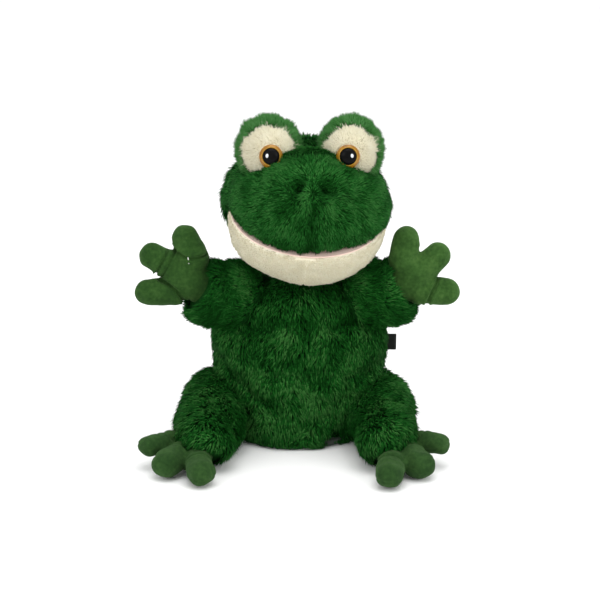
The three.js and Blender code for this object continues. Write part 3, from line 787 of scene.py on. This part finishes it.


# the snout takes the paler copy of the plush: painted light
snout_left = grow("snout_pile_left", head, 15500, 6.2, 0.43, away_from_nose, lit_head_strands, 31, rise=35, lay=84,
                  keep=on_snout_left, trim=short_at_nostrils, mess=0.3, lock=2.2, pull=0.35, light=snout_painted_light)
snout_right = grow("snout_pile_right", head, 15500, 6.2, 0.43, away_from_nose, lit_head_strands, 33, rise=35, lay=84,
                   keep=on_snout_right, trim=short_at_nostrils, mess=0.3, lock=2.2, pull=0.35, light=snout_painted_light)
head_pile = grow("head_back_pile", head, 10500, 8.6, 0.66, toward(0, 0.5, -1), plush_strands, 32, rise=35,
                 lay=86, keep=on_head_back)
TO_SNOUT = BENCH @ SNOUT @ BENCH.inverted()
for piece in (snout_left, snout_right, head_pile):
    piece.data.transform(TO_SNOUT)
head.data.transform(SNOUT)
finished(head, plush_back)
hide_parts("snout_panel", "head_back_panel", "head_stuffing")
for piece in (head, snout_left, snout_right, head_pile):
    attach(piece, "head")

# %% [markdown]
# ## Mouth
# The palate and the mouth floor are pink lining. The jaw is cream plush with a short pile, a ball cut flat on
# top and behind, its edges rounded by the remesh. The mouth floor lies on it, and shows as a pale crescent.

# %% Jaw, palate and mouth floor
JAW = ((-1, -35, 169), (57, 52, 43), 17)
MOUTH_GAP = 4.6
THROAT = Vector((0, math.cos(math.radians(14)), -math.sin(math.radians(14))))
DOWN_FROM_FLOOR = Vector((0, math.sin(JAW_SLOPE), -math.cos(JAW_SLOPE)))
FLOOR_POINT = Vector((0, HINGE[1], HINGE[2] - MOUTH_GAP))

bm = bmesh.new()
add_ball(bm, JAW[0], JAW[1], JAW[2], rings=32)
cut(bm, FLOOR_POINT, -DOWN_FROM_FLOOR)
cut(bm, (0, HINGE[1] - 2, HINGE[2]), THROAT)
jaw = weld(bm, "jaw_skin", 1.6, smooth=5)
points, normals = points_of(jaw), normals_of(jaw)
points += normals * (0.5 * ripple(points, 30, 41))[:, None]
set_points(jaw, points)


def jaw_comb(points, normals):
    """Brushed sideways and down along the chin."""
    way = np.stack([np.sign(points[:, 0]) * 0.4 + points[:, 0] * 0.02, 0 * points[:, 0], -np.ones(len(points))], 1)
    return way


def on_jaw(points, normals):
    return ((normals @ np.array(-DOWN_FROM_FLOOR)) < 0.85) * (normals[:, 1] < 0.8)


jaw_pile = grow("jaw_pile", jaw, 11500, 2.6, 0.40, jaw_comb, cream_strands, 42, rise=35, lay=80, lock=1.6,
                mess=0.3, keep=on_jaw)
jaw_pile.data.transform(TO_SNOUT)


def slice_of(ball, inset, point, down, drop, thickness, behind_y, name):
    """A thin slice of a ball along a sloping plane: a flat piece of lining cut to the shape of the mouth."""
    bm = bmesh.new()
    add_ball(bm, ball[0], [r - inset for r in ball[1]], ball[2], rings=40)
    cut(bm, Vector(point) + down * drop, -down)
    cut(bm, Vector(point) + down * (drop + thickness), down)
    cut(bm, (0, behind_y, 0), (0, 1, 0))
    bmesh.ops.bevel(bm, geom=[e for e in bm.edges if e.calc_face_angle(0) > 0.9], offset=0.3, segments=2,
                    profile=0.5, affect="EDGES", material=-1)
    return as_object(bm, name)


floor_lining = slice_of(JAW, 1.4, FLOOR_POINT, DOWN_FROM_FLOOR, -0.9, 0.8, HINGE[1] - 2, "mouth_floor_cloth")
palate = slice_of(MUZZLE, 1.8, ROOF, DOWN_FROM_PALATE, 0.2, 0.8, HINGE[1] - 3, "palate_cloth")
for piece in (jaw, floor_lining, palate):
    piece.data.transform(SNOUT)
finished(jaw, cream)
finished(floor_lining, pink, smooth=False)
finished(palate, pink, smooth=False)
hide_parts("jaw_panel", "jaw_stuffing")
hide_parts("mouth_floor_lining")
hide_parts("palate_lining")
for piece in (jaw, jaw_pile, floor_lining):
    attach(piece, "jaw")
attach(palate, "head")

# %% [markdown]
# ## Eyes
# Each eye is a stuffed ball under a green hood, with a cream disc in front that holds a plastic eye. The hood
# and the disc have a shorter, fluffier pile that stands out from the disc's rim all round.

# %% Hoods and discs
EYE_MIDDLE = (29, -38, 221)
HOOD = (20, 20, 21)
WHITE = (18.4, 19.6, 18.2)
IRIS_MIDDLE = (27, -59.2, 219.5)
IRIS = 8.4
PUPIL = 5.8
EYE_PITCH = math.radians(8)


def make_eye(side):
    sign = SIDES[side]
    middle = Vector((sign * EYE_MIDDLE[0], *EYE_MIDDLE[1:]))
    iris_at = Vector((sign * IRIS_MIDDLE[0], *IRIS_MIDDLE[1:]))
    bm = bmesh.new()
    add_ball(bm, middle, HOOD, rings=24)
    cut(bm, middle + Vector((0, -11.5, 0)), (0, -1, 0))
    hood = weld(bm, f"eye_hood_skin_{side}", 1.4, smooth=3)
    bm = bmesh.new()
    add_ball(bm, middle + Vector((0, -2, 0)), WHITE, rings=24)
    white = weld(bm, f"eye_white_skin_{side}", 1.2, smooth=2)
    centre = np.array(middle)

    def out_of_rim(points, normals):
        way = points - centre
        way[:, 1] = np.where(points[:, 1] < centre[1] - 4, 4, 14)
        way[:, 2] += 3
        return way

    def hood_keep(points, normals):
        return (normals[:, 1] > -0.93) * (points[:, 2] > 203)

    def from_iris(points, normals):
        return points - np.array(iris_at) + np.array([0, 0, 1.5])

    def white_keep(points, normals):
        gap = np.linalg.norm(points - np.array(iris_at), axis=1)
        return (points[:, 1] < centre[1] - 8) * (gap > IRIS + 0.1) * (points[:, 2] > 202)

    def short_at_iris(points, normals):
        return 0.45 + 0.55 * np.clip((np.linalg.norm(points - np.array(iris_at), axis=1) - IRIS - 0.5) / 6, 0, 1)

    hood_pile = grow(f"eye_hood_pile_{side}", hood, 8300, 7.2, 0.40, out_of_rim, hood_strands, 50 + sign,
                     rise=10, lay=50, keep=hood_keep, lock=1.6, mess=0.28, pull=0.2)
    white_pile = grow(f"eye_white_pile_{side}", white, 8000, 5.6, 0.29, from_iris, cream_strands, 60 + sign,
                      rise=18, lay=66, keep=white_keep, trim=short_at_iris, lock=1.3, mess=0.3, pull=0.15)
    to_head = BENCH @ HEAD @ BENCH.inverted()
    for piece in (hood_pile, white_pile):
        piece.data.transform(to_head)
    for piece, material, name in ((hood, hood_back, "green_plush"), (white, cream, "cream_plush")):
        piece.data.transform(HEAD)
        finished(piece, material)
    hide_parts(f"eye_hood_{side}")
    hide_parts(f"eye_white_{side}", f"eye_stuffing_{side}")
    for piece in (hood, white, hood_pile, white_pile):
        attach(piece, "head")


for side in SIDES:
    make_eye(side)

# %% [markdown]
# ## Plastic eyes
# The amber rim and the pupil are turned shapes, so each is an outline that is spun round the eye's axis. The
# rim is a shallow dish with a bright edge round the pupil, and the pupil is a polished dome with a small
# printed dot.


# %% Turned plastic
def turned(outline, name, materials, bands, segments=48):
    """Spins an outline of radius and distance in front of the disc. bands gives each stretch its material."""
    bm = bmesh.new()
    verts = [bm.verts.new((r, 0, d)) for r, d in outline]
    edges = [bm.edges.new(pair) for pair in zip(verts[:-1], verts[1:])]
    bmesh.ops.spin(bm, geom=verts + edges, cent=(0, 0, 0), axis=(0, 0, 1), angle=2 * math.pi, steps=segments,
                   use_merge=True)
    bmesh.ops.remove_doubles(bm, verts=bm.verts, dist=1e-4)
    bmesh.ops.recalc_face_normals(bm, faces=bm.faces)
    for face in bm.faces:
        radius = face.calc_center_median().xy.length
        face.material_index = next((i for i, limit in bands if radius < limit), 0)
    piece = as_object(bm, name)
    for material in materials:
        piece.data.materials.append(material)
    return piece


def place_on_eye(piece, side):
    sign = SIDES[side]
    place = Matrix.Translation((sign * IRIS_MIDDLE[0], *IRIS_MIDDLE[1:]))
    piece.data.transform(BENCH @ HEAD @ place @ Matrix.Rotation(math.pi / 2 - EYE_PITCH, 4, "X"))
    piece.data.polygons.foreach_set("use_smooth", [True] * len(piece.data.polygons))
    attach(piece, "head")


RIM = [(0, -1), (IRIS - 0.6, -1), (IRIS, -0.5), (IRIS, 0.5), (IRIS - 0.4, 1.1), (IRIS - 1.1, 1.7), (IRIS - 1.8, 2.1),
       (PUPIL + 0.9, 2.4), (PUPIL + 0.55, 2.5), (PUPIL + 0.3, 2.3), (PUPIL + 0.2, 1.6), (PUPIL + 0.2, 0.6), (0, 0.6)]
DOME = [(0, 0.9), (PUPIL, 0.9), (PUPIL, 2.3)]
DOME += [(PUPIL * math.cos(a), 2.3 + 2.2 * math.sin(a)) for a in np.radians([12, 26, 40, 54, 68, 80])] + [(0, 4.5)]

for side, sign in SIDES.items():
    rim = turned(RIM, f"amber_rim_{side}", [amber, gold], [(1, PUPIL + 1.0)])
    place_on_eye(rim, side)
    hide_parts(f"iris_{side}")
    dome = turned(DOME, f"pupil_dome_{side}", [jet, dot], [])
    bm = bmesh.new()
    bm.from_mesh(dome.data)
    spot = bmesh.ops.create_uvsphere(bm, u_segments=20, v_segments=10, radius=1)["verts"]
    bmesh.ops.transform(bm, matrix=Matrix.Translation((sign * 2.2, 0.4, 4.05)) @ Matrix.Diagonal((1.6, 1.6, 0.35, 1)),
                        verts=spot)
    for face in {f for v in spot for f in v.link_faces}:
        face.material_index = 1
    bm.to_mesh(dome.data)
    bm.free()
    place_on_eye(dome, side)
    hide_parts(f"pupil_{side}")
    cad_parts[f"eye_washer_{side}"].data.materials.clear()
    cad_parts[f"eye_washer_{side}"].data.materials.append(washer_white)
print("plastic eyes made")

# %% [markdown]
# ## Neck
# Behind the jaw the body's cloth narrows and goes up into the head. It is a short tube with pile, inside both.

# %% The neck
neck = loft([(116, 19.5, 17.5, NECK.x, NECK.y), (126, 18.6, 17.5, NECK.x, NECK.y), (140, 20, 19, NECK.x, NECK.y),
             (156, 20.5, 20, NECK.x, NECK.y)], "neck_skin", around=20)
neck_pile = grow("neck_pile", neck, 3000, 8.0, 0.65, BODY_COMB, plush_strands, 71, rise=35, lay=85,
                 keep=lambda points, normals: points[:, 2] > 122)
thickness = neck.modifiers.new("cloth", "SOLIDIFY")
thickness.thickness = PLUSH_CLOTH
thickness.offset = -1
apply_modifiers(neck)
finished(neck, plush_back)
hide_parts("neck_tube")
for piece in (neck, neck_pile):
    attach(piece, "neck")

# %% [markdown]
# ## Arms and hands
# An arm is a short stuffed sleeve of plush. Its open end is wider than the wrist, so its pile hangs over the
# palm. A hand is two layers of velour, stuffed flat, with three fat fingers. Lines of stitches across the roots
# of the fingers let them bend, and the cloth folds there.

# %% Arms
ARM = {"left": ((61, -15, 107), (76, -21, 116.5)), "right": ((-51, -15, 107), (-67, -21, 116.5))}
SHOULDER = 18
CUFF = 17.5
WRIST_DEPTH = 10


def make_arm(side):
    shoulder, cuff = (Vector(v) for v in ARM[side])
    along = (cuff - shoulder).normalized()
    raised = Vector((0, 0, 2.5))
    bm = bmesh.new()
    add_limb(bm, shoulder - along * 6 + raised, cuff + raised, SHOULDER + 1.5, CUFF + 1.5, segments=32)
    add_ball(bm, shoulder + Vector((-8 * SIDES[side], 2, 8)), (20, 19, 19))
    add_ball(bm, cuff + Vector((-4 * SIDES[side], 2, -8.5)), (16.5, 15, 16.5))
    cut(bm, cuff + along * 3, along)
    skin = weld(bm, f"arm_skin_{side}", 1.8, smooth=14)
    points, normals = points_of(skin), normals_of(skin)
    points += normals * (0.9 * ripple(points, 26, 80 + SIDES[side]))[:, None]
    set_points(skin, points)

    def comb(points, normals):
        return np.tile(np.array(along) + [0, -0.1, -0.6], (len(points), 1))

    def keep(points, normals):
        past = (points - np.array(shoulder)) @ np.array(along)
        return (past > -12) * (normals @ np.array(along) < 0.93)

    # the arms' pile is dealt darker shades all over: painted shade
    pile = grow(f"arm_pile_{side}", skin, 11500, 8.5, 0.58, comb, plush_strands, 84 + SIDES[side], rise=28, lay=80,
                keep=keep, mess=0.5, lock=2.8, pull=0.4, light=lambda points, normals: -0.22 - 0 * points[:, 0])
    finished(skin, plush_back)
    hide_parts(f"arm_sleeve_{side}", f"arm_stuffing_{side}")
    for piece in (skin, pile):
        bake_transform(piece)


for side in SIDES:
    make_arm(side)

# %% Hands
HAND = {
    "left": ((86, -21, 127.5), [((78.5, -21, 138), (80.5, -21, 154.5), 11.5), ((92, -21, 132), (103.5, -21, 142), 10.5),
                                ((91, -21, 116), (111, -21, 115.5), 10.5)]),
    "right": ((-82, -21, 127), [((-75.5, -21, 140), (-80.5, -21, 155.5), 12.6), ((-90.5, -21, 134.5), (-105, -21, 142), 11),
                                ((-90, -21, 115.5), (-108.5, -21, 114.8), 10.8)]),
}
FINGER = 10
PALM = 14.5
WRIST = 12
HAND_FOLDS = {
    "right": [([(-90, 149), (-88, 146.5), (-82, 143.4), (-76, 141.8), (-67.5, 143), (-60, 145)], 2.4, 1.2),
              ([(-92.5, 149), (-93, 146), (-98, 137), (-103, 128)], 1.8, 0.9),
              ([(-87.5, 147.5), (-91.5, 138), (-98, 127)], 1.6, 0.9),
              ([(-104, 127), (-101, 126), (-94, 123), (-87, 117.5), (-83, 111), (-81, 104)], 2.6, 1.2)],
    "left": [([(104, 126), (99.5, 117), (97, 110), (96, 103)], 2.4, 1.2),
             ([(94.5, 145), (100, 141), (103.5, 137)], 0.7, 1.2),
             ([(90, 148), (92, 144), (97, 140)], 0.6, 1.5)],
}


def make_hand(side):
    palm, fingers = HAND[side]
    shoulder, cuff = (Vector(v) for v in ARM[side])
    wrist = cuff + (shoulder - cuff).normalized() * WRIST_DEPTH
    bm = bmesh.new()
    add_limb(bm, wrist, palm, WRIST, PALM, 0.72)
    for root, tip, width in fingers:
        add_limb(bm, root, tip, width, FINGER, 0.82)
    skin = weld(bm, f"hand_skin_{side}", 1.0, smooth=8)
    points, normals = points_of(skin), normals_of(skin)
    front = np.clip((-20 - points[:, 1]) / 3, 0, 1)
    for line, depth, width in HAND_FOLDS[side]:
        points = crease(points, normals, line, front, depth, width)
    edge = np.abs(points[:, 1] + 21)
    points -= normals * (0.45 * np.exp(-(edge / 0.8) ** 2))[:, None]
    points += normals * (0.28 * ripple(points, 9, 90 + SIDES[side]))[:, None]
    set_points(skin, points)
    finished(skin, velour if side == "left" else velour_shaded)
    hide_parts(f"hand_palm_panel_{side}", f"hand_back_panel_{side}", f"hand_stuffing_{side}")
    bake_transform(skin)


for side in SIDES:
    make_hand(side)

# %% [markdown]
# ## Legs and feet
# A leg is a thick stuffed tube of plush that lies on the floor in front of the body. Its foot is like a hand,
# two layers of velour with three toes, and lies flat.

# %% Legs
LEG = {
    "left": ((62, -6, 24.4), (66, -73, 18.4), (66, -61, 17)),
    "right": ((-60, -6, 24.4), (-65, -73, 18.4), (-65, -61, 17)),
}
HIP = 24
CALF = 18.4
UNDERCUT = Vector((0, -0.6, -0.8))


def make_leg(side):
    hip, cuff, _ = (Vector(v) for v in LEG[side])
    bm = bmesh.new()
    add_limb(bm, hip, cuff, HIP, CALF, segments=36)
    add_ball(bm, cuff + Vector((-4 * SIDES[side], -8, 0)), (16, 14, 15))
    cut(bm, cuff + Vector((0, -10, -10)), UNDERCUT)
    skin = weld(bm, f"leg_skin_{side}", 2.0, smooth=10)
    points, normals = points_of(skin), normals_of(skin)
    points += normals * (1.3 * ripple(points, 34, 100 + SIDES[side]))[:, None]
    points[:, 2] = np.maximum(points[:, 2], 0.5 + 0.15 * np.minimum(points[:, 2], 0.5))
    set_points(skin, points)
    flare = 0.5 * SIDES[side]

    def comb(points, normals):
        across = (points[:, 0] - hip.x)[:, None] * np.array([0.03, 0, 0])
        return np.array([flare, -0.75, -0.55]) + across

    def keep(points, normals):
        return (points[:, 2] > 1.2) * (normals @ np.array(UNDERCUT) < 0.9)

    # painted light and shade: the pile is paler on the leg's outer side and at its front end, darker on its inner side
    def light(points, normals):
        outer = (points[:, 0] - hip.x) * SIDES[side] / 22
        return 0.14 * outer - 0.06 + 0.12 * np.clip((-60 - points[:, 1]) / 20, 0, 1)

    pile = grow(f"leg_pile_{side}", skin, 13800, 8.5, 0.69, comb, plush_strands, 104 + SIDES[side], rise=30, lay=82,
                keep=keep, mess=0.45, light=light, lock=2.8, pull=0.4)
    finished(skin, plush_back)
    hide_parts(f"leg_cover_{side}", f"leg_stuffing_{side}")
    for piece in (skin, pile):
        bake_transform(piece)


for side in SIDES:
    make_leg(side)

# %% Feet
FOOT_MIDDLE = {"left": (70, -88, 9), "right": (-71, -88, 9)}
TOES = {
    "left": [((83, -64, 16), (102, -81, 18), 8.4), ((76, -78, 12), (87, -102, 10.6), 11),
             ((68, -94, 10.5), (64.5, -121, 9.8), 10.2)],
    "right": [((-84, -64, 16), (-103.5, -84, 18), 8.4), ((-77, -77, 12), (-90.5, -101, 10.6), 10.8),
              ((-69, -93, 10.5), (-65.5, -117, 9.8), 10)],
}
SEAM_RISE = 0.3


def make_foot(side):
    heel = Vector(FOOT_MIDDLE[side])
    _, cuff, ankle = (Vector(v) for v in LEG[side])
    bm = bmesh.new()
    for root, tip, radius in TOES[side]:
        add_limb(bm, root, tip, radius - 0.6, radius, 0.92, (0, 0, 1))
    add_limb(bm, ankle, heel, 10, 12, 0.8, (0, 0, 1))
    add_ball(bm, heel + Vector((SIDES[side] * 5, 8, 1)), (12, 12, 9))
    skin = weld(bm, f"foot_skin_{side}", 1.0, smooth=7)
    points, normals = points_of(skin), normals_of(skin)
    above = np.clip(normals[:, 2] * 2, 0, 1)
    for root, tip, radius in TOES[side]:
        root, tip = Vector(root).xy, Vector(tip).xy
        across = (tip - root).orthogonal().normalized() * radius * 0.7
        knuckle = root.lerp(tip, 0.45)
        points = crease(points, normals, [knuckle - across, knuckle + across], above, 1.6, 1.5, plane=(0, 1))
    points += normals * (0.45 * ripple(points, 9, 110 + SIDES[side]))[:, None]
    outer = np.clip((points[:, 0] - heel.x) * SIDES[side], 0, None)
    seam = points[:, 2] - 7.4 - SEAM_RISE * outer
    points -= normals * (0.5 * np.exp(-(seam / 0.8) ** 2))[:, None]
    points[:, 2] = np.maximum(points[:, 2], 0.3 + 0.1 * np.clip(points[:, 2] + 4, 0, 4))
    set_points(skin, points)
    # the feet take the darker copy of the velour: painted shade
    finished(skin, shaded_foot_velour)
    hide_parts(f"foot_sole_panel_{side}", f"foot_top_panel_{side}", f"foot_stuffing_{side}")
    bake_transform(skin)


for side in SIDES:
    make_foot(side)

# %% [markdown]
# ## Small pieces
# The side label is a satin ribbon, folded over and caught in the side seam. The nostril stitches are short
# lengths of thread. The pockets for fingers and thumb are out of sight in the head.

# %% The side label
LABEL = ((69, 6, 69.5), (14, 1.2, 12.5))
low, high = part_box("side_label")
bm = bmesh.new()
strip = bmesh.ops.create_grid(bm, x_segments=24, y_segments=14, size=0.5)["verts"]
for vert in strip:
    angle = vert.co.x * 2 * math.pi
    half = 0.5 - 0.02
    reach = min(1.0, (0.5 - abs(vert.co.x)) * 4)
    vert.co = Vector((LABEL[0][0] - 7 + 14 * (1 - abs(vert.co.x) * 2) ** 0.9,
                      LABEL[0][1] + 0.42 * np.sign(vert.co.x or 1) * (1.2 - 0.5 * reach),
                      LABEL[0][2] + vert.co.y * LABEL[1][2]))
label = as_object(bm, "folded_label")
thickness = label.modifiers.new("cloth", "SOLIDIFY")
thickness.thickness = 0.35
thickness.offset = 0
apply_modifiers(label)
points = points_of(label)
points[:, 1] += 0.5 * np.sin((points[:, 0] - 62) / 5) * np.cos((points[:, 2] - 66) / 6)
set_points(label, points)
finished(label, ribbon)
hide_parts("side_label")
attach(label, "label")

# %% Nostril stitches, deep in the dents that they pull
for side, sign in SIDES.items():
    bm = bmesh.new()
    middle = NOSTRILS + [sign * NOSTRIL_APART, 7.6, -0.5]
    add_limb(bm, middle + [sign * 1.2, 0, 2], middle + [-sign * 1.2, 0, -2], 0.5, 0.5, segments=10)
    stitch = weld(bm, f"stitch_{side}", 0.25, smooth=1)
    stitch.data.transform(SNOUT)
    finished(stitch, thread)
    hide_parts(f"nostril_stitch_{side}")
    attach(stitch, "head")

# %% A loose end of pale thread at the root of a finger
bm = bmesh.new()
add_limb(bm, (-78.2, -29.6, 142.6), (-77.6, -31, 138.6), 0.42, 0.36, segments=10)
thread_end = weld(bm, "loose_thread", 0.2, smooth=1)
finished(thread_end, pale_thread)
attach(thread_end, "hand_right")

# %% Plain finishes for what stays hidden inside
for name, material in (("finger_pocket", satin), ("thumb_pocket", satin)):
    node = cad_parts[name]
    node.data.materials.clear()
    node.data.materials.append(material)
